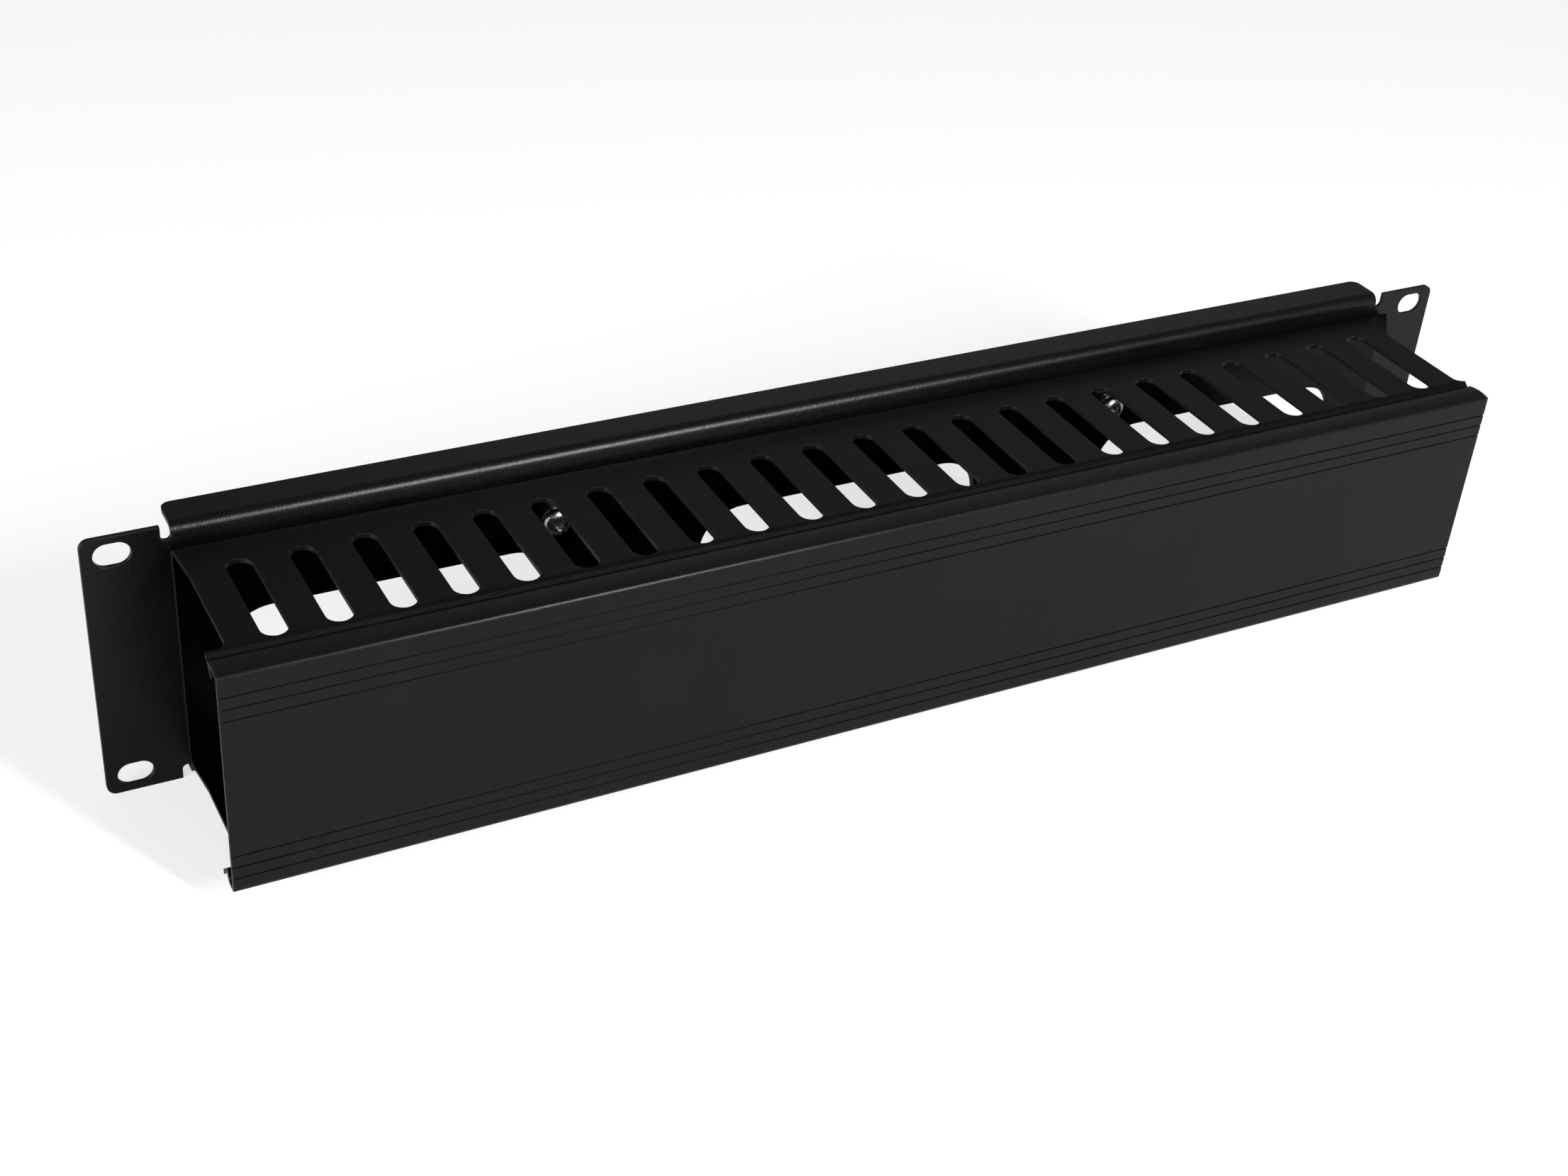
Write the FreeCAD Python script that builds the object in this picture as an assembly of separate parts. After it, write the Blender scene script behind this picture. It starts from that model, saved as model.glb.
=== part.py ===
import FreeCAD, Part
import math
import os

from FreeCAD import Vector

# Two-unit rack cable manager: a folded steel rack panel carries a slotted steel duct on its front,
# and an extruded cover closes the duct. Millimetres, +Z up, -Y is the front, +X to the right seen
# from the front. The origin is the middle of the four rack slots, on the panel's rear face.

# Rack panel, one folded sheet
panel_width = 482.6
panel_height = 88.1
panel_sheet = 1.5
panel_corner_r = 3.0
rack_slot_inset_x = 8.75
rack_slot_inset_z = 5.95
rack_slot_length = 10.7
rack_slot_width = 7.6
ear_length = 25.3
flange_depth = 12.8
flange_bend_r = 1.7
flange_corner_r = 3.0
relief_width = 3.0

# Duct channel, one folded sheet bolted to the front of the panel
duct_sheet = 1.5
duct_bend_r = 1.5
duct_depth = 53.0
duct_top_gap = 6.6
duct_bottom_gap = 5.4
wall_overhang_left = 0.6
wall_overhang_right = 3.3
end_step_left = 1.0
end_step_right = 10.7
end_step_start = 3.2
end_step_finish = 16.0
end_step_corner_r = 3.0
lip_overhang_left = 5.9
lip_overhang_right = 3.2
lip_overhang_r = 3.0
lip_width = 7.0
lip_angle = 41.0
lip_bend_r = 0.8

# Cable slots, the same in both shelves and centred on them
slot_pitch = 18.02
slot_width = 7.8
slot_end_margin = 12.0
slot_back_margin = 12.9
slot_front_margin = 0.5

# Pass-through openings in the back wall and the panel, evenly spread between the flange ends
opening_count = 3
opening_end_margin = 12.0
opening_web = 49.2
opening_height = 29.3

# Cover, one extruded profile
cover_sheet = 1.2
cover_overhang = 0.3
cover_stand_off = 11.6
cover_bottom_rise = 2.15
cover_corner_r = 1.3
cover_clearance = 0.15
ledge_depth = 9.0
ledge_crown = 0.6
hook_height = 4.4
hook_r = 2.8
hook_clearance = 0.1
groove_width = 0.5
groove_depth = 0.35
groove_pitch = 3.88
groove_count = 3
groove_top_margin = 6.6
groove_bottom_margin = 5.15

# Fixings: M4 cross-recessed screw, spring washer, flat washer and hexagon nut
fixing_inset_x = 114.4
fixing_inset_top = 15.4
fixing_inset_bottom = 11.7
screw_r = 2.0
screw_length = 10.0
head_r = 4.0
head_height = 3.1
head_rim = 1.5
crown_r = 2.8
recess_span = 4.4
recess_arm = 0.9
recess_depth = 2.0
recess_taper = 0.55
recess_turn = 45.0
spring_washer_r = 3.8
spring_washer_t = 1.1
spring_washer_gap = 0.7
spring_washer_lean = 25.0
flat_washer_r = 4.5
flat_washer_t = 0.8
nut_across_flats = 7.0
nut_height = 3.2
thread_clearance = 0.05
washer_clearance = 0.15
hole_clearance = 0.25

# Cutters run this far past the metal, and edges shorter than least_edge are left out
cutter_overrun = 20.0
least_edge = 0.001

ORIGIN = Vector(0, 0, 0)
X_AXIS = Vector(1, 0, 0)
Y_AXIS = Vector(0, 1, 0)
Z_AXIS = Vector(0, 0, 1)

# Planes across the depth
panel_front = -panel_sheet
panel_rear_edge = panel_front + flange_depth
wall_front = panel_front - duct_sheet
lip_bend_y = panel_front - duct_depth
lip_tip_y = lip_bend_y - lip_width * math.cos(math.radians(lip_angle))
cover_face_y = lip_bend_y - cover_stand_off

# Ends and heights that the pieces share
half_w = panel_width / 2
half_h = panel_height / 2
flange_end = half_w - ear_length
wall_left = -flange_end - wall_overhang_left
wall_right = flange_end + wall_overhang_right
shelf_left = wall_left + end_step_left
shelf_right = wall_right - end_step_right
lip_left = shelf_left - lip_overhang_left
lip_right = shelf_right + lip_overhang_right
duct_top = half_h - duct_top_gap
duct_bottom = -half_h + duct_bottom_gap
fixing_top = duct_top - fixing_inset_top
fixing_bottom = duct_bottom + fixing_inset_bottom


def rounded_wire(corners, closed=False):
    """Wire through (point, radius) corners, each one rounded where its radius is not zero."""
    enters = []
    leaves = []
    arcs = {}
    for i, (corner, radius) in enumerate(corners):
        enter = corner
        leave = corner
        if radius > 0:
            back = (corners[i - 1][0] - corner).normalize()
            ahead = (corners[(i + 1) % len(corners)][0] - corner).normalize()
            half = back.getAngle(ahead) / 2
            enter = corner + back * (radius / math.tan(half))
            leave = corner + ahead * (radius / math.tan(half))
            middle = corner + (back + ahead).normalize() * (radius / math.sin(half) - radius)
            arcs[i] = Part.Arc(enter, middle, leave).toShape()
        enters.append(enter)
        leaves.append(leave)

    edges = []
    for i in range(len(corners)):
        if i in arcs:
            edges.append(arcs[i])
        if closed or i < len(corners) - 1:
            end = enters[(i + 1) % len(corners)]
            if leaves[i].distanceToPoint(end) > least_edge:
                edges.append(Part.makeLine(leaves[i], end))
    return Part.Wire(edges)


def plate(x_from, x_to, y_from, y_to, radii):
    """Rectangular face in the XY plane, its corners rounded in turn from (x_from, y_from)."""
    points = [(x_from, y_from), (x_to, y_from), (x_to, y_to), (x_from, y_to)]
    corners = [(Vector(x, y, 0), radius) for (x, y), radius in zip(points, radii)]
    return Part.Face(rounded_wire(corners, closed=True))


def round_ended(centre_x, centre_y, size_x, size_y):
    """Slot-shaped face in the XY plane, its shorter sides half rounds."""
    left = centre_x - size_x / 2
    low = centre_y - size_y / 2
    return plate(left, left + size_x, low, low + size_y, [min(size_x, size_y) / 2] * 4)


def stood_up(face, y_from, y_to):
    """Solid of an XY face turned upright, facing the front, between two depths."""
    upright = face.copy()
    upright.rotate(ORIGIN, X_AXIS, 90)
    upright.translate(Y_AXIS * y_from)
    return upright.extrude(Y_AXIS * (y_to - y_from))


def through_duct(face):
    """Solid of an XY face carried straight up past both shelves and both flanges."""
    base = face.copy()
    base.translate(Z_AXIS * -(half_h + cutter_overrun))
    return base.extrude(Z_AXIS * 2 * (half_h + cutter_overrun))


def through_wall(face):
    """Cutter of an XY face turned upright and carried through the back wall and the panel."""
    return stood_up(face, wall_front - cutter_overrun, cutter_overrun)


def folded_sheet(outside, thickness, x_from, x_to):
    """Sheet of one thickness on the inner side of an outside line drawn in the YZ plane."""
    section = outside.makeOffset2D(-thickness, 0, True, True)
    section.translate(X_AXIS * x_from)
    return section.extrude(X_AXIS * (x_to - x_from))


def fixing_points():
    """Names and places of the four fixings on the duct's back wall."""
    places = {}
    for side, x in (("left", fixing_inset_x - flange_end), ("right", flange_end - fixing_inset_x)):
        for level, z in (("upper", fixing_top), ("lower", fixing_bottom)):
            places[level + "_" + side] = (x, z)
    return places


def wall_openings():
    """Cutters for the pass-through openings and the fixing holes, the same in panel and duct."""
    room = 2 * (flange_end - opening_end_margin) - (opening_count - 1) * opening_web
    length = room / opening_count
    first = opening_end_margin - flange_end + length / 2
    centre_z = (fixing_top + fixing_bottom) / 2
    cutters = []
    for i in range(opening_count):
        centre_x = first + i * (length + opening_web)
        cutters.append(through_wall(round_ended(centre_x, centre_z, length, opening_height)))
    for x, z in fixing_points().values():
        start = Vector(x, wall_front - cutter_overrun, z)
        run = 2 * cutter_overrun - wall_front
        cutters.append(Part.makeCylinder(screw_r + hole_clearance, run, start, Y_AXIS))
    return Part.makeCompound(cutters)


def rack_panel():
    """Flat ears and a middle stretch whose top and bottom flanges are folded to the rear."""
    bend_r = flange_bend_r + panel_sheet
    flat_h = half_h - bend_r
    outside = rounded_wire(
        [
            (Vector(0, panel_rear_edge, half_h), 0),
            (Vector(0, panel_front, half_h), bend_r),
            (Vector(0, panel_front, -half_h), bend_r),
            (Vector(0, panel_rear_edge, -half_h), 0),
        ]
    )
    folded = folded_sheet(outside, panel_sheet, -flange_end, flange_end)
    rounds = [0, 0, flange_corner_r, flange_corner_r]
    blank = plate(-flange_end, flange_end, panel_front - cutter_overrun, panel_rear_edge, rounds)
    middle = folded.common(through_duct(blank))

    left_rounds = [panel_corner_r, 0, 0, panel_corner_r]
    right_rounds = [0, panel_corner_r, panel_corner_r, 0]
    ears = [
        stood_up(plate(-half_w, -flange_end, -half_h, half_h, left_rounds), panel_front, 0),
        stood_up(plate(flange_end, half_w, -half_h, half_h, right_rounds), panel_front, 0),
    ]

    relief_in = flat_h - relief_width / 2
    relief_out = half_h + relief_width
    cutters = []
    for side in (-1, 1):
        relief_x = side * (flange_end + relief_width / 2)
        slot_x = side * (half_w - rack_slot_inset_x)
        for level in (-1, 1):
            relief_z = level * (relief_in + relief_out) / 2
            slot_z = level * (half_h - rack_slot_inset_z)
            relief = round_ended(relief_x, relief_z, relief_width, relief_out - relief_in)
            slot = round_ended(slot_x, slot_z, rack_slot_length, rack_slot_width)
            cutters += [through_wall(relief), through_wall(slot)]
    ears = [ear.cut(cutters) for ear in ears]
    return middle.fuse(ears).cut(wall_openings()).removeSplitter()


def duct_outline():
    """Plan of the duct as folded: its ends step in from the back wall and out to the lips."""
    step_start_y = panel_front - end_step_start
    step_finish_y = panel_front - end_step_finish
    lip_end_y = lip_bend_y - lip_width
    left = [
        (Vector(wall_left, panel_front, 0), 0),
        (Vector(wall_left, step_start_y, 0), 0),
        (Vector(shelf_left, step_finish_y, 0), end_step_corner_r),
        (Vector(shelf_left, lip_bend_y, 0), lip_overhang_r),
        (Vector(lip_left, lip_bend_y, 0), 0),
        (Vector(lip_left, lip_end_y, 0), 0),
    ]
    right = [
        (Vector(lip_right, lip_end_y, 0), 0),
        (Vector(lip_right, lip_bend_y, 0), 0),
        (Vector(shelf_right, lip_bend_y, 0), lip_overhang_r),
        (Vector(shelf_right, step_finish_y, 0), end_step_corner_r),
        (Vector(wall_right, step_start_y, 0), 0),
        (Vector(wall_right, panel_front, 0), 0),
    ]
    return Part.Face(rounded_wire(left + right, closed=True))


def cable_slots():
    """Cutters for the cable slots, each straight down through both shelves."""
    back_y = panel_front - slot_back_margin
    front_y = lip_bend_y + slot_front_margin
    gaps = int((shelf_right - shelf_left - 2 * slot_end_margin) / slot_pitch)
    first = (shelf_left + shelf_right - gaps * slot_pitch) / 2
    cutters = []
    for i in range(gaps + 1):
        centre_x = first + i * slot_pitch
        face = round_ended(centre_x, (back_y + front_y) / 2, slot_width, back_y - front_y)
        cutters.append(through_duct(face))
    return Part.makeCompound(cutters)


def duct_channel():
    """U-shaped duct with slotted shelves, stepped ends, inturned lips and round-ended openings."""
    rise = lip_width * math.sin(math.radians(lip_angle))
    bend = duct_bend_r + duct_sheet
    lip_bend = lip_bend_r + duct_sheet
    outside = rounded_wire(
        [
            (Vector(0, lip_tip_y, duct_bottom + rise), 0),
            (Vector(0, lip_bend_y, duct_bottom), lip_bend),
            (Vector(0, panel_front, duct_bottom), bend),
            (Vector(0, panel_front, duct_top), bend),
            (Vector(0, lip_bend_y, duct_top), lip_bend),
            (Vector(0, lip_tip_y, duct_top - rise), 0),
        ]
    )
    folded = folded_sheet(outside, duct_sheet, -half_w, half_w)
    channel = folded.common(through_duct(duct_outline()))
    return channel.cut(cable_slots()).cut(wall_openings())


def cover():
    """Sprung-on profile: crowned ledge over the upper lip, grooved face, rounded hook at the foot."""
    ledge_end_y = cover_face_y + ledge_depth
    lip_drop = (lip_bend_y - ledge_end_y) * math.tan(math.radians(lip_angle))
    top_z = duct_top - lip_drop + cover_clearance + cover_sheet
    bottom_z = duct_bottom + cover_bottom_rise
    hook_y = lip_tip_y - hook_clearance
    ledge_end = Vector(0, ledge_end_y, top_z)
    crown = Vector(0, (cover_face_y + ledge_end_y) / 2, top_z + ledge_crown)
    face_top = Vector(0, cover_face_y, top_z)

    ledge = Part.Arc(ledge_end, crown, face_top).toShape()
    front = rounded_wire(
        [
            (face_top, 0),
            (Vector(0, cover_face_y, bottom_z), cover_corner_r),
            (Vector(0, hook_y, bottom_z), hook_r),
            (Vector(0, hook_y, bottom_z + hook_height), 0),
        ]
    )
    outside = Part.Wire([ledge] + front.Edges)
    left = lip_left - cover_overhang
    right = lip_right + cover_overhang
    profile = folded_sheet(outside, cover_sheet, left, right)

    grooves = []
    for i in range(groove_count):
        for z in (
            top_z - groove_top_margin - i * groove_pitch,
            bottom_z + groove_bottom_margin + i * groove_pitch,
        ):
            corner = Vector(left, cover_face_y, z - groove_width / 2)
            grooves.append(Part.makeBox(right - left, groove_depth, groove_width, corner))
    return profile.cut(grooves)


def turned(points):
    """Solid turned about the Y axis from (radius, y) points."""
    corners = [Vector(r, y, 0) for r, y in points]
    face = Part.Face(Part.makePolygon(corners + [corners[0]]))
    return face.revolve(ORIGIN, Y_AXIS, 360)


def recess_bar():
    """One bar of the cross recess, narrowing towards its bottom."""
    half_arm = recess_arm / 2
    outlines = []
    for scale, y in ((1, -head_height), (recess_taper, recess_depth - head_height)):
        half_span = recess_span / 2 * scale
        corners = [
            Vector(-half_span, y, -half_arm),
            Vector(half_span, y, -half_arm),
            Vector(half_span, y, half_arm),
            Vector(-half_span, y, half_arm),
        ]
        outlines.append(Part.makePolygon(corners + [corners[0]]))
    return Part.makeLoft(outlines, True, True)


def screw():
    """Cross-recessed machine screw, its head's seat at y = 0 and its tip to the rear."""
    body = turned(
        [
            (0, -head_height),
            (crown_r, -head_height),
            (head_r, -head_rim),
            (head_r, 0),
            (screw_r, 0),
            (screw_r, screw_length),
            (0, screw_length),
        ]
    )
    for turn in (recess_turn, recess_turn + 90):
        bar = recess_bar()
        bar.rotate(ORIGIN, Y_AXIS, turn)
        body = body.cut(bar)
    return body


def washer(outer_r, thickness):
    """Plain ring round the screw, its rear face at y = 0."""
    inner_r = screw_r + washer_clearance
    return turned([(inner_r, 0), (outer_r, 0), (outer_r, -thickness), (inner_r, -thickness)])


def spring_washer():
    """Split ring pressed flat, with a leaning cut through one side, its rear face at y = 0."""
    depth = 4 * spring_washer_t
    corner = Vector(0, -depth / 2, -spring_washer_gap / 2)
    split = Part.makeBox(2 * spring_washer_r, depth, spring_washer_gap, corner)
    split.rotate(ORIGIN, X_AXIS, spring_washer_lean)
    split.translate(Y_AXIS * (-spring_washer_t / 2))
    return washer(spring_washer_r, spring_washer_t).cut(split)


def nut():
    """Plain hexagon nut with two flats upright, its front face at y = 0."""
    corner_r = nut_across_flats / math.sqrt(3)
    points = []
    for i in range(7):
        turn = math.radians(60 * i)
        points.append(Vector(corner_r * math.cos(turn), 0, corner_r * math.sin(turn)))
    hexagon = Part.Face(Part.makePolygon(points)).extrude(Y_AXIS * nut_height)
    return hexagon.cut(Part.makeCylinder(screw_r + thread_clearance, nut_height, ORIGIN, Y_AXIS))


def fixings():
    """Each fixing's four pieces, stacked on the back wall from the head to the nut."""
    spring_y = wall_front - flat_washer_t
    head_y = spring_y - spring_washer_t
    stack = {
        "screw": (screw(), head_y),
        "spring_washer": (spring_washer(), spring_y),
        "flat_washer": (washer(flat_washer_r, flat_washer_t), wall_front),
        "nut": (nut(), 0),
    }
    pieces = {}
    for place, (x, z) in fixing_points().items():
        for kind, (shape, y) in stack.items():
            piece = shape.copy()
            piece.translate(Vector(x, y, z))
            pieces[kind + "_" + place] = piece
    return pieces


nodes = {"rack_panel": rack_panel(), "duct_channel": duct_channel(), "cover": cover()}
nodes.update(fixings())

os.makedirs("parts", exist_ok=True)
for name, shape in nodes.items():
    solid = shape.Solids[0]
    if len(shape.Solids) != 1 or not solid.isValid():
        raise ValueError(name + " is not one valid solid")
    solid.exportStep("parts/" + name + ".step")
    box = solid.BoundBox
    print(name, round(solid.Volume), box)
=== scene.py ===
import bmesh
import bpy
import math
from mathutils import Matrix, Vector


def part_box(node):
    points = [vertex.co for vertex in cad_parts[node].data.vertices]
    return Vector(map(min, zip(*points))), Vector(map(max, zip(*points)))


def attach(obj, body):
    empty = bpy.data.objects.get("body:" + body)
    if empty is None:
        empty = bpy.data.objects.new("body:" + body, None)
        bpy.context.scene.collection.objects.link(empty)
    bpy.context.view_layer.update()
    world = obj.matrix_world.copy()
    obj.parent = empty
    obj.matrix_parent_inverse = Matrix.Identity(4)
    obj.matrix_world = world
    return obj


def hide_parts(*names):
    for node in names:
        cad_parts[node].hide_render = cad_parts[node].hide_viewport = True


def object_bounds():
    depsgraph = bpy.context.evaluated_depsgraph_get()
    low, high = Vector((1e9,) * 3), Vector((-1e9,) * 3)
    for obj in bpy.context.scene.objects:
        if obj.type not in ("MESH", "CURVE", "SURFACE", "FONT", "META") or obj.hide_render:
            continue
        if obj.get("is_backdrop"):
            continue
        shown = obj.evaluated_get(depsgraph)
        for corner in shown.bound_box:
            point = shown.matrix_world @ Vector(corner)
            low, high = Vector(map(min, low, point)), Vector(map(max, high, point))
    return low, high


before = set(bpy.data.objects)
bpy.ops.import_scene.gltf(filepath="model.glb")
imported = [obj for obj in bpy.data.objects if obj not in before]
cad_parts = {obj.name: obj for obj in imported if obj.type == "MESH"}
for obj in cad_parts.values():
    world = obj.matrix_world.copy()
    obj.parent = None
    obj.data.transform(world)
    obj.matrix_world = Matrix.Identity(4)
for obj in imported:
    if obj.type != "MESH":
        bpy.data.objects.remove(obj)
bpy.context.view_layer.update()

# Rack panel. One cut and folded steel sheet with a flange along its top and bottom, screwed to the
# rack through four oval slots. It is sprayed with black powder and baked, which leaves a fine
# pebbled grain with small shiny specks, and a thinner coat along the edges.

panel_sheet = 0.0015
mask_slack = 0.00005


def feed(tree, value, socket):
    """Sets a socket to a number or a colour, or links another socket to it."""
    if isinstance(value, bpy.types.NodeSocket):
        tree.links.new(value, socket)
    else:
        socket.default_value = value


def new_group(name, inputs, outputs):
    """Empty shader node group with float or vector inputs, and outputs given by type."""
    group = bpy.data.node_groups.new(name, "ShaderNodeTree")
    for label, kind, value in inputs:
        socket = group.interface.new_socket(name=label, in_out="INPUT", socket_type=kind)
        socket.default_value = value
    for label, kind in outputs:
        group.interface.new_socket(name=label, in_out="OUTPUT", socket_type=kind)
    start = group.nodes.new("NodeGroupInput")
    end = group.nodes.new("NodeGroupOutput")
    return group, start, end


def noise(tree, vector, scale, detail, roughness=0.5):
    """Noise texture read at a vector, its scale a number or a socket; gives its factor."""
    node = tree.nodes.new("ShaderNodeTexNoise")
    node.inputs["Detail"].default_value = detail
    node.inputs["Roughness"].default_value = roughness
    tree.links.new(vector, node.inputs["Vector"])
    feed(tree, scale, node.inputs["Scale"])
    return node.outputs[0]


def maths(tree, operation, first, second=None, clamp=False):
    """Math node on sockets or numbers; gives its output socket."""
    node = tree.nodes.new("ShaderNodeMath")
    node.operation = operation
    node.use_clamp = clamp
    feed(tree, first, node.inputs[0])
    if second is not None:
        feed(tree, second, node.inputs[1])
    return node.outputs[0]


def distance_from(tree, value, centre):
    """How far a value lies from a centre, to either side."""
    return maths(tree, "ABSOLUTE", maths(tree, "SUBTRACT", value, centre))


def dot_product(tree, first, second):
    """Dot product of two vector sockets."""
    node = tree.nodes.new("ShaderNodeVectorMath")
    node.operation = "DOT_PRODUCT"
    tree.links.new(first, node.inputs[0])
    tree.links.new(second, node.inputs[1])
    return node.outputs["Value"]


def spread(tree, value, low, high, to_low, to_high):
    """Map Range node from low..high to another range, clamped."""
    node = tree.nodes.new("ShaderNodeMapRange")
    tree.links.new(value, node.inputs["Value"])
    for label, limit in (("From Min", low), ("From Max", high), ("To Min", to_low), ("To Max", to_high)):
        feed(tree, limit, node.inputs[label])
    return node.outputs["Result"]


def powder_grain():
    """Baked powder: a pebbled height, a slow tone that drifts over the sheet, and small specks."""
    swell_scale = 260.0
    swell_share = 0.8
    cloud_scale = 22.0
    speck_scale = 2300.0
    speck_start, speck_full = 0.6, 0.72
    group, start, end = new_group(
        "powder_grain",
        [("Vector", "NodeSocketVector", (0, 0, 0)), ("Pebble", "NodeSocketFloat", 1500.0)],
        [("Height", "NodeSocketFloat"), ("Tone", "NodeSocketFloat"), ("Speck", "NodeSocketFloat")],
    )
    vector = start.outputs["Vector"]
    pebble = noise(group, vector, start.outputs["Pebble"], detail=3.0, roughness=0.6)
    swell = noise(group, vector, swell_scale, detail=2.0)
    cloud = noise(group, vector, cloud_scale, detail=4.0, roughness=0.6)
    speck = noise(group, vector, speck_scale, detail=1.0)
    height = maths(group, "ADD", pebble, maths(group, "MULTIPLY", swell, swell_share))
    group.links.new(height, end.inputs["Height"])
    group.links.new(cloud, end.inputs["Tone"])
    group.links.new(spread(group, speck, speck_start, speck_full, 0.0, 1.0), end.inputs["Speck"])
    return group


def edge_mask():
    """One along sharp edges, where a coat thins, and nothing on the flats."""
    flat_agreement, sharp_agreement = 0.998, 0.86
    group, start, end = new_group(
        "edge_mask",
        [("Width", "NodeSocketFloat", 0.0004)],
        [("Edge", "NodeSocketFloat")],
    )
    rounded = group.nodes.new("ShaderNodeBevel")
    rounded.samples = 6
    group.links.new(start.outputs["Width"], rounded.inputs["Radius"])
    plain = group.nodes.new("ShaderNodeNewGeometry")
    agreement = dot_product(group, rounded.outputs["Normal"], plain.outputs["True Normal"])
    edge = spread(group, agreement, flat_agreement, sharp_agreement, 0.0, 1.0)
    group.links.new(edge, end.inputs["Edge"])
    return group


def cut_face_mask():
    """One on sheared or sawn ends, which look along X, and a share of one on holes cut in a band.

    The band lies on both sides of Centre, Offset away from it along Axis and Half deep each way,
    and only faces that cross the sheet there are counted.
    """
    crossing_limit = 0.3
    sideways_limit = 0.7
    hole_share = 0.2
    group, start, end = new_group(
        "cut_face_mask",
        [
            ("Axis", "NodeSocketVector", (0, 1, 0)),
            ("Centre", "NodeSocketFloat", 0.0),
            ("Offset", "NodeSocketFloat", 0.0),
            ("Half", "NodeSocketFloat", 0.0),
            ("Place", "NodeSocketVector", (0, 0, 0)),
        ],
        [("Cut", "NodeSocketFloat")],
    )
    plain = group.nodes.new("ShaderNodeNewGeometry")
    parts = group.nodes.new("ShaderNodeSeparateXYZ")
    group.links.new(plain.outputs["True Normal"], parts.inputs[0])
    along = dot_product(group, plain.outputs["True Normal"], start.outputs["Axis"])
    height = dot_product(group, start.outputs["Place"], start.outputs["Axis"])
    away = distance_from(group, height, start.outputs["Centre"])
    off = distance_from(group, away, start.outputs["Offset"])
    in_band = maths(group, "LESS_THAN", off, start.outputs["Half"])
    crossing = maths(group, "LESS_THAN", maths(group, "ABSOLUTE", along), crossing_limit)
    hole = maths(group, "MULTIPLY", in_band, maths(group, "MULTIPLY", crossing, hole_share))
    sideways = maths(group, "GREATER_THAN", maths(group, "ABSOLUTE", parts.outputs["X"]), sideways_limit)
    group.links.new(maths(group, "MAXIMUM", hole, sideways), end.inputs["Cut"])
    return group


powder_grain_group = powder_grain()
edge_mask_group = edge_mask()
cut_face_group = cut_face_mask()


def place_group(tree, group):
    """A node group's node in a material."""
    node = tree.nodes.new("ShaderNodeGroup")
    node.node_tree = group
    return node


def mix_colour(tree, factor, first, second):
    """Mix node between two colours; gives its colour output."""
    node = tree.nodes.new("ShaderNodeMix")
    node.data_type = "RGBA"
    tree.links.new(factor, node.inputs["Factor"])
    for label, value in (("A", first), ("B", second)):
        feed(tree, value, [s for s in node.inputs if s.name == label and s.type == "RGBA"][0])
    return [s for s in node.outputs if s.type == "RGBA"][0]


def coated(
    name, dark, light, edge, cut, band, gloss, matt, pebble, grain_depth, edge_width, specular
):
    """Baked coat on metal: two tones of black, thinner on edges and cut faces, with a pebbled bump.

    band is the axis, centre, offset and half depth of the cut faces. Gives the material and the
    sockets that carry its colour, roughness, place and edge widths, for marks that one piece has.
    """
    thinnest, thickest = 0.3, 0.7
    speck_shine = 0.05
    material = bpy.data.materials.new(name)
    material.use_nodes = True
    tree = material.node_tree
    shader = tree.nodes["Principled BSDF"]
    shader.inputs["Specular IOR Level"].default_value = specular
    place = tree.nodes.new("ShaderNodeTexCoord").outputs["Object"]
    grain = place_group(tree, powder_grain_group)
    grain.inputs["Pebble"].default_value = pebble
    tree.links.new(place, grain.inputs["Vector"])
    tone = grain.outputs["Tone"]

    edges = place_group(tree, edge_mask_group)
    edges.inputs["Width"].default_value = edge_width
    faces = place_group(tree, cut_face_group)
    for label, value in zip(("Axis", "Centre", "Offset", "Half"), band):
        faces.inputs[label].default_value = value
    tree.links.new(place, faces.inputs["Place"])
    ground = mix_colour(tree, spread(tree, tone, 0.35, 0.65, 0.0, 1.0), dark, light)
    ground = mix_colour(tree, faces.outputs["Cut"], ground, cut)
    wear = spread(tree, tone, thinnest, thickest, 0.5, 1.0)
    colour = mix_colour(tree, maths(tree, "MULTIPLY", edges.outputs["Edge"], wear), ground, edge)
    tree.links.new(colour, shader.inputs["Base Color"])

    shine = spread(tree, tone, thinnest, thickest, gloss, matt)
    specks = maths(tree, "MULTIPLY", grain.outputs["Speck"], speck_shine)
    roughness = maths(tree, "SUBTRACT", shine, specks)
    tree.links.new(roughness, shader.inputs["Roughness"])

    soft = tree.nodes.new("ShaderNodeBevel")
    soft.samples = 10
    soft.inputs["Radius"].default_value = edge_width
    bump = tree.nodes.new("ShaderNodeBump")
    bump.inputs["Strength"].default_value = 0.9
    bump.inputs["Distance"].default_value = grain_depth
    tree.links.new(grain.outputs["Height"], bump.inputs["Height"])
    tree.links.new(soft.outputs["Normal"], bump.inputs["Normal"])
    tree.links.new(bump.outputs["Normal"], shader.inputs["Normal"])
    return material, colour, roughness, place, (edges.inputs["Width"], soft.inputs["Radius"])


def dress(node, material):
    """Gives a carried-over node its finish."""
    node.data.materials.clear()
    node.data.materials.append(material)


panel_coat, *_ = coated(
    "panel_black_powder",
    dark=(0.0016, 0.0016, 0.0017, 1),
    light=(0.0026, 0.0026, 0.0028, 1),
    edge=(0.030, 0.030, 0.031, 1),
    cut=(0.022, 0.022, 0.023, 1),
    band=((0, 1, 0), -panel_sheet / 2, 0.0, panel_sheet / 2 + mask_slack),
    gloss=0.31,
    matt=0.37,
    pebble=1400.0,
    grain_depth=0.00007,
    edge_width=0.0003,
    specular=0.36,
)
dress(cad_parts["rack_panel"], panel_coat)

# Duct channel. One steel sheet cut with two rows of cable slots and three long openings, folded
# into a trough with inturned lips and screwed to the panel. It has the panel's powder, smoother
# inside the trough, where its colour is darker as painted shade. Along each lip, where the cover's
# ledge meets it, a lighter line is a painted highlight.

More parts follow.
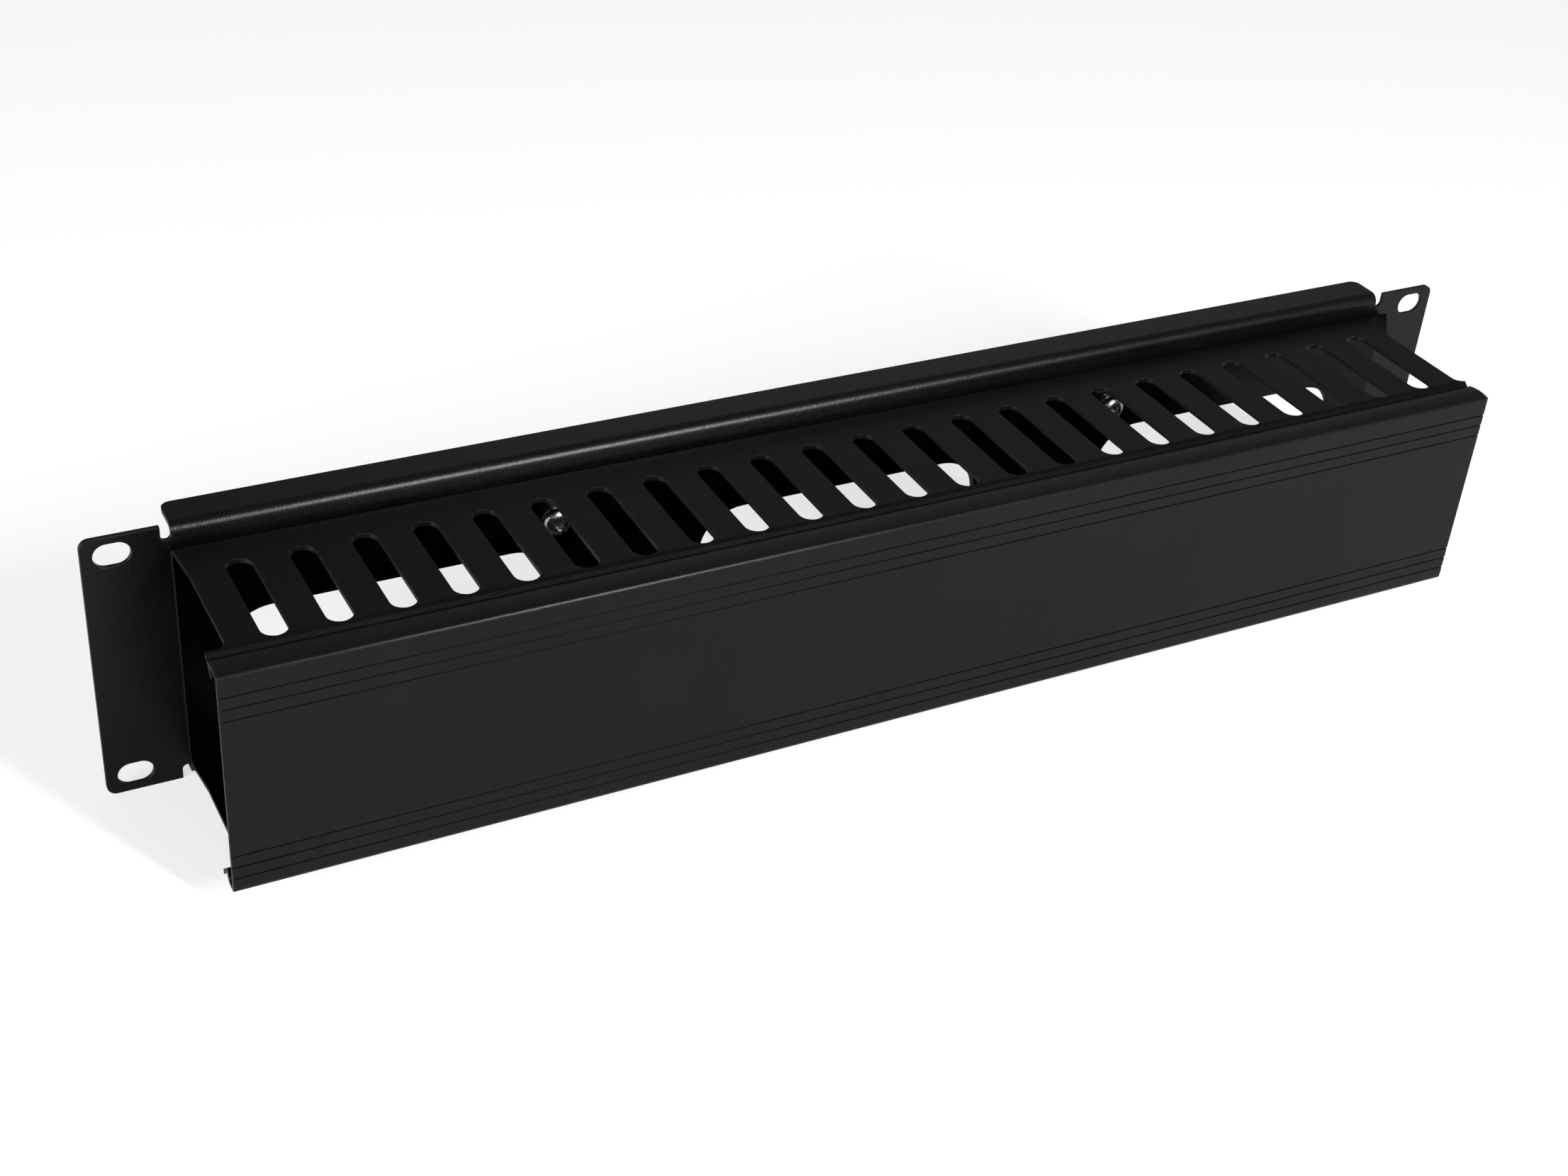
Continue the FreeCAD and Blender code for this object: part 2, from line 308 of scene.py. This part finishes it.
duct_sheet = 0.0015
duct_low, duct_high = (Vector(corner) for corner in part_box("duct_channel"))
cover_low, cover_high = (Vector(corner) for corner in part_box("cover"))
duct_middle_z = (duct_low.z + duct_high.z) / 2
duct_half_height = (duct_high.z - duct_low.z) / 2
trough_back_y = duct_high.y - duct_sheet + mask_slack
trough_front_y = cover_high.y + mask_slack
trough_half_height = duct_half_height - duct_sheet + mask_slack
# Painted shade: a darker colour for the inside of the trough, where shade falls.
trough_painted_shade_colour = (0.0012, 0.0012, 0.0013, 1)
trough_shine = 0.16
lip_zone_depth = 0.00255
lip_line_y = cover_high.y + 0.0002
lip_line_half = 0.0003
# Painted highlight: the lighter colour of a thin line along each lip, at the rear edge of the cover's
# ledge.
lip_painted_highlight_colour = (0.013, 0.013, 0.014, 1)

duct_coat, duct_colour, duct_roughness, duct_place, _ = coated(
    "duct_black_powder",
    dark=(0.0026, 0.0026, 0.0027, 1),
    light=(0.0036, 0.0036, 0.0038, 1),
    edge=(0.030, 0.030, 0.031, 1),
    cut=(0.022, 0.022, 0.023, 1),
    band=((0, 0, 1), duct_middle_z, duct_half_height - duct_sheet / 2, duct_sheet / 2 + mask_slack),
    gloss=0.32,
    matt=0.40,
    pebble=1400.0,
    grain_depth=0.00006,
    edge_width=0.0003,
    specular=0.18,
)


def band_of(tree, value, centre, half):
    """One where a value lies within half of centre."""
    return maths(tree, "LESS_THAN", distance_from(tree, value, centre), half)


def finish_trough(material, colour, roughness, place):
    """Smoother powder and painted shade inside the trough, and a painted highlight line along each lip."""
    tree = material.node_tree
    shader = tree.nodes["Principled BSDF"]
    parts = tree.nodes.new("ShaderNodeSeparateXYZ")
    tree.links.new(place, parts.inputs[0])
    middle_y = (trough_back_y + trough_front_y) / 2
    half_depth = (trough_back_y - trough_front_y) / 2
    between_sides = band_of(tree, parts.outputs["Y"], middle_y, half_depth)
    between_shelves = band_of(tree, parts.outputs["Z"], duct_middle_z, trough_half_height)
    inside = maths(tree, "MULTIPLY", between_sides, between_shelves)
    lip_zone_start = duct_half_height - lip_zone_depth
    away_from_lips = band_of(tree, parts.outputs["Z"], duct_middle_z, lip_zone_start)
    on_line = band_of(tree, parts.outputs["Y"], lip_line_y, lip_line_half)
    # Painted highlight: a thin lighter line along each lip, behind the cover's ledge.
    painted_highlight_line = maths(tree, "MULTIPLY", on_line, maths(tree, "SUBTRACT", 1.0, away_from_lips))
    # Painted shade: the inside of the trough is coloured darker.
    painted_shade_inside = mix_colour(tree, inside, colour, trough_painted_shade_colour)
    tree.links.new(mix_colour(tree, painted_highlight_line, painted_shade_inside, lip_painted_highlight_colour), shader.inputs["Base Color"])
    smoother = maths(tree, "MULTIPLY", inside, trough_shine)
    tree.links.new(maths(tree, "SUBTRACT", roughness, smoother), shader.inputs["Roughness"])


finish_trough(duct_coat, duct_colour, duct_roughness, duct_place)
dress(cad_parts["duct_channel"], duct_coat)

# Cover. One extruded profile, sawn to length, with a crowned ledge, fine grooves along its face
# and a rounded hook, sprung over the duct's lips. Its satin black is smoother than the powder on
# the steel, and shiniest along the two front edges.

long_edge_start, long_edge_full = 0.0335, 0.0345
long_edge_radius = 0.0018
sawn_edge_radius = 0.0003
sawn_edge_reach = 0.0010
polish_start, polish_full = 0.0340, 0.0348
polish_depth, polish_end = 0.0014, 0.0022
polish_shine = 0.10

cover_coat, _, cover_roughness, cover_place, cover_widths = coated(
    "cover_satin_black",
    dark=(0.0050, 0.0050, 0.0054, 1),
    light=(0.0064, 0.0064, 0.0068, 1),
    edge=(0.020, 0.020, 0.0205, 1),
    cut=(0.050, 0.050, 0.051, 1),
    band=((0, 0, 1), 0.0, 1.0, 0.0),
    gloss=0.27,
    matt=0.33,
    pebble=2600.0,
    grain_depth=0.00003,
    edge_width=0.0002,
    specular=0.23,
)


def finish_profile(material, roughness, place, widths, low, high):
    """Rounds the long outer edges and sawn ends, keeps the grooves crisp, polishes the front edges."""
    tree = material.node_tree
    parts = tree.nodes.new("ShaderNodeSeparateXYZ")
    tree.links.new(place, parts.inputs[0])
    x, y = parts.outputs["X"], parts.outputs["Y"]
    from_middle = maths(tree, "ABSOLUTE", parts.outputs["Z"])

    on_long_edge = spread(tree, from_middle, long_edge_start, long_edge_full, 0.0, long_edge_radius)
    half_reach = sawn_edge_reach / 2
    at_left = spread(tree, x, low.x + half_reach, low.x + sawn_edge_reach, sawn_edge_radius, 0.0)
    at_right = spread(tree, x, high.x - sawn_edge_reach, high.x - half_reach, 0.0, sawn_edge_radius)
    width = maths(tree, "MAXIMUM", on_long_edge, maths(tree, "MAXIMUM", at_left, at_right))
    for socket in widths:
        tree.links.new(width, socket)

    high_up = spread(tree, from_middle, polish_start, polish_full, 0.0, 1.0)
    in_front = spread(tree, y, low.y + polish_depth, low.y + polish_end, 1.0, 0.0)
    rubbed = maths(tree, "MULTIPLY", maths(tree, "MULTIPLY", high_up, in_front), polish_shine)
    shader = tree.nodes["Principled BSDF"]
    tree.links.new(maths(tree, "SUBTRACT", roughness, rubbed), shader.inputs["Roughness"])


finish_profile(cover_coat, cover_roughness, cover_place, cover_widths, cover_low, cover_high)
dress(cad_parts["cover"], cover_coat)

# Fixings. Four zinc-plated button-head screws with a hexagon socket and a rolled thread, each with
# a spring washer and a flat washer inside the duct and a nut behind the panel.

head_radius = 0.0047
head_height = 0.0028
rim_height = 0.0006
rim_break = 0.0002
socket_across_flats = 0.0030
socket_depth = 0.0016
socket_rim = 0.0020
socket_drill_cone = 0.0002
shank_radius = 0.0020
shank_length = 0.0100
thread_pitch = 0.0007
thread_depth = 0.0003
tip_chamfer = 0.0007
steps_round = 48
dome_steps = 14
thread_steps = 112
smooth_below = math.radians(32)


def zinc_plate():
    """Bright plate, a little cloudy, with a faint grain."""
    material = bpy.data.materials.new("zinc_plate")
    material.use_nodes = True
    tree = material.node_tree
    shader = tree.nodes["Principled BSDF"]
    shader.inputs["Metallic"].default_value = 1.0
    place = tree.nodes.new("ShaderNodeTexCoord").outputs["Object"]
    cloud = noise(tree, place, 900.0, detail=3.0)
    tone = mix_colour(tree, cloud, (0.52, 0.52, 0.53, 1), (0.64, 0.64, 0.66, 1))
    tree.links.new(tone, shader.inputs["Base Color"])
    tree.links.new(spread(tree, cloud, 0.3, 0.7, 0.20, 0.30), shader.inputs["Roughness"])
    grain = tree.nodes.new("ShaderNodeBump")
    grain.inputs["Strength"].default_value = 0.3
    grain.inputs["Distance"].default_value = 0.00001
    tree.links.new(noise(tree, place, 4000.0, detail=2.0), grain.inputs["Height"])
    tree.links.new(grain.outputs["Normal"], shader.inputs["Normal"])
    return material


def socket_radius(turn):
    """Distance from the middle of the hexagon to its side, at an angle."""
    sixth = math.pi / 3
    return socket_across_flats / 2 / math.cos((turn + sixth / 2) % sixth - sixth / 2)


def thread_radius(turn, height):
    """Distance from the axis to the thread's flank, chamfered towards the tip."""
    phase = (height / thread_pitch - turn / (2 * math.pi)) % 1.0
    chamfer = max(0.0, height - shank_length + tip_chamfer)
    return shank_radius - thread_depth * abs(2 * phase - 1) - chamfer


def screw_rings():
    """Rings of (radius at an angle, height along the screw), from the socket's floor to the tip."""
    floor = -head_height + socket_depth
    rings = [
        (lambda turn: socket_radius(turn) * 0.3, floor + socket_drill_cone),
        (socket_radius, floor),
        (socket_radius, -head_height + 0.0002),
        (lambda turn: (socket_radius(turn) + 2 * socket_rim) / 3, -head_height + 0.0001),
        (lambda turn: socket_rim, -head_height),
    ]
    for i in range(1, dome_steps + 1):
        swing = i / dome_steps * math.pi / 2
        radius = socket_rim + (head_radius - socket_rim) * math.sin(swing)
        height = -head_height + (head_height - rim_height) * (1 - math.cos(swing))
        rings.append((lambda turn, radius=radius: radius, height))
    rings.append((lambda turn: head_radius, -rim_break))
    rings.append((lambda turn: head_radius - rim_break, 0.0))
    for i in range(thread_steps + 1):
        height = shank_length * i / thread_steps
        rings.append((lambda turn, height=height: thread_radius(turn, height), height))
    return rings


def button_head_screw(place, seat):
    """Screw turned about the Y axis, its head's seat at a point."""
    work = bmesh.new()
    loops = []
    for radius, height in screw_rings():
        loop = []
        for i in range(steps_round):
            turn = 2 * math.pi * i / steps_round
            out = radius(turn)
            corner = (seat.x + out * math.cos(turn), seat.y + height, seat.z + out * math.sin(turn))
            loop.append(work.verts.new(corner))
        loops.append(loop)
    for first, second in zip(loops, loops[1:]):
        for i in range(steps_round):
            j = (i + 1) % steps_round
            work.faces.new((first[i], first[j], second[j], second[i]))
    work.faces.new(loops[0])
    work.faces.new(loops[-1])
    bmesh.ops.recalc_face_normals(work, faces=work.faces)
    mesh = bpy.data.meshes.new("button_head_screw_" + place)
    work.to_mesh(mesh)
    work.free()
    obj = bpy.data.objects.new("button_head_screw_" + place, mesh)
    bpy.context.scene.collection.objects.link(obj)
    for polygon in mesh.polygons:
        polygon.use_smooth = True
    mesh.set_sharp_from_angle(angle=smooth_below)
    mesh.materials.append(zinc)
    return obj


zinc = zinc_plate()
for name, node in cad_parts.items():
    if name.startswith(("screw_", "spring_washer_", "flat_washer_", "nut_")):
        dress(node, zinc)

for place in ("upper_left", "upper_right", "lower_left", "lower_right"):
    low, high = (Vector(corner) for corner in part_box("screw_" + place))
    seat = Vector(((low.x + high.x) / 2, high.y - shank_length, (low.z + high.z) / 2))
    button_head = button_head_screw(place, seat)
    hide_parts("screw_" + place)
    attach(button_head, "duct")

# Studio. A plain white floor under the piece, three soft lamps and an even white world, and the
# camera to the left of the piece and above it, a little rolled.

low, high = (Vector(corner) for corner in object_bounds())
floor_z = low.z
floor_size = 8.0
floor_tone = 0.75
floor_glow_to_camera = 0.62
floor_glow_in_gloss = 0.06
world_strength = 0.15
bpy.ops.mesh.primitive_plane_add(size=floor_size, location=(0, 0, floor_z))
floor = bpy.context.object
floor.name = "floor"
floor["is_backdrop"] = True


def floor_paint():
    """White floor that keeps a soft shadow and reads as white to the camera and in reflections."""
    material = bpy.data.materials.new("floor_white")
    material.use_nodes = True
    tree = material.node_tree
    tree.nodes.clear()
    out = tree.nodes.new("ShaderNodeOutputMaterial")
    ray = tree.nodes.new("ShaderNodeLightPath")
    plain = tree.nodes.new("ShaderNodeBsdfDiffuse")
    plain.inputs["Color"].default_value = (floor_tone, floor_tone, floor_tone, 1)
    glow = tree.nodes.new("ShaderNodeEmission")
    straight = maths(tree, "MULTIPLY", ray.outputs["Is Camera Ray"], floor_glow_to_camera)
    mirrored = maths(tree, "MULTIPLY", ray.outputs["Is Glossy Ray"], floor_glow_in_gloss)
    tree.links.new(maths(tree, "ADD", straight, mirrored), glow.inputs["Strength"])
    both = tree.nodes.new("ShaderNodeAddShader")
    tree.links.new(plain.outputs[0], both.inputs[0])
    tree.links.new(glow.outputs[0], both.inputs[1])
    tree.links.new(both.outputs[0], out.inputs["Surface"])
    return material


def white_world():
    """Weak even light on the piece, and plain white where the camera sees past the floor."""
    world = bpy.data.worlds.new("studio")
    world.use_nodes = True
    tree = world.node_tree
    back = tree.nodes["Background"]
    back.inputs["Color"].default_value = (1, 1, 1, 1)
    ray = tree.nodes.new("ShaderNodeLightPath")
    seen = maths(tree, "ADD", ray.outputs["Is Camera Ray"], ray.outputs["Is Transmission Ray"], clamp=True)
    tree.links.new(spread(tree, seen, 0.0, 1.0, world_strength, 1.0), back.inputs["Strength"])
    return world


def lamp(name, place, aim, width, height, watts, tint):
    """Soft rectangular lamp pointed at a spot."""
    light = bpy.data.lights.new(name, "AREA")
    light.shape = "RECTANGLE"
    light.size = width
    light.size_y = height
    light.energy = watts
    light.color = tint
    obj = bpy.data.objects.new(name, light)
    bpy.context.scene.collection.objects.link(obj)
    obj.location = place
    obj.rotation_euler = (Vector(aim) - Vector(place)).to_track_quat("-Z", "Y").to_euler()


floor.data.materials.append(floor_paint())
bpy.context.scene.world = white_world()
lamp("key", (0.38, -1.23, 0.70), (0, 0, 0), 0.14, 0.55, 18, (0.93, 0.96, 1.0))
lamp("left", (-1.5, -0.5, 0.5), (0, 0, 0), 0.8, 0.8, 14, (1.0, 1.0, 1.0))
lamp("back", (0.75, 1.15, 0.85), (0.1, 0, 0), 1.0, 1.0, 0.35, (1.0, 1.0, 1.0))

camera_azimuth = math.radians(30.09)
camera_elevation = math.radians(33.402)
camera_roll = math.radians(4.837)
camera_distance = 0.7452
camera_target = Vector((-0.0183, -0.0015, -0.0248))
camera_data = bpy.data.cameras.new("camera")
camera_data.lens = 51.71
camera_data.sensor_width = 36.0
camera_data.clip_start = 0.01
camera = bpy.data.objects.new("camera", camera_data)
bpy.context.scene.collection.objects.link(camera)
ahead = Vector(
    (
        math.sin(camera_azimuth) * math.cos(camera_elevation),
        math.cos(camera_azimuth) * math.cos(camera_elevation),
        -math.sin(camera_elevation),
    )
)
level_right = ahead.cross(Vector((0, 0, 1))).normalized()
level_up = level_right.cross(ahead)
right = math.cos(camera_roll) * level_right + math.sin(camera_roll) * level_up
up = right.cross(ahead)
facing = Matrix((right, up, -ahead)).transposed()
camera.matrix_world = Matrix.Translation(camera_target - ahead * camera_distance) @ facing.to_4x4()
bpy.context.scene.camera = camera
bpy.context.scene.view_settings.view_transform = "Standard"
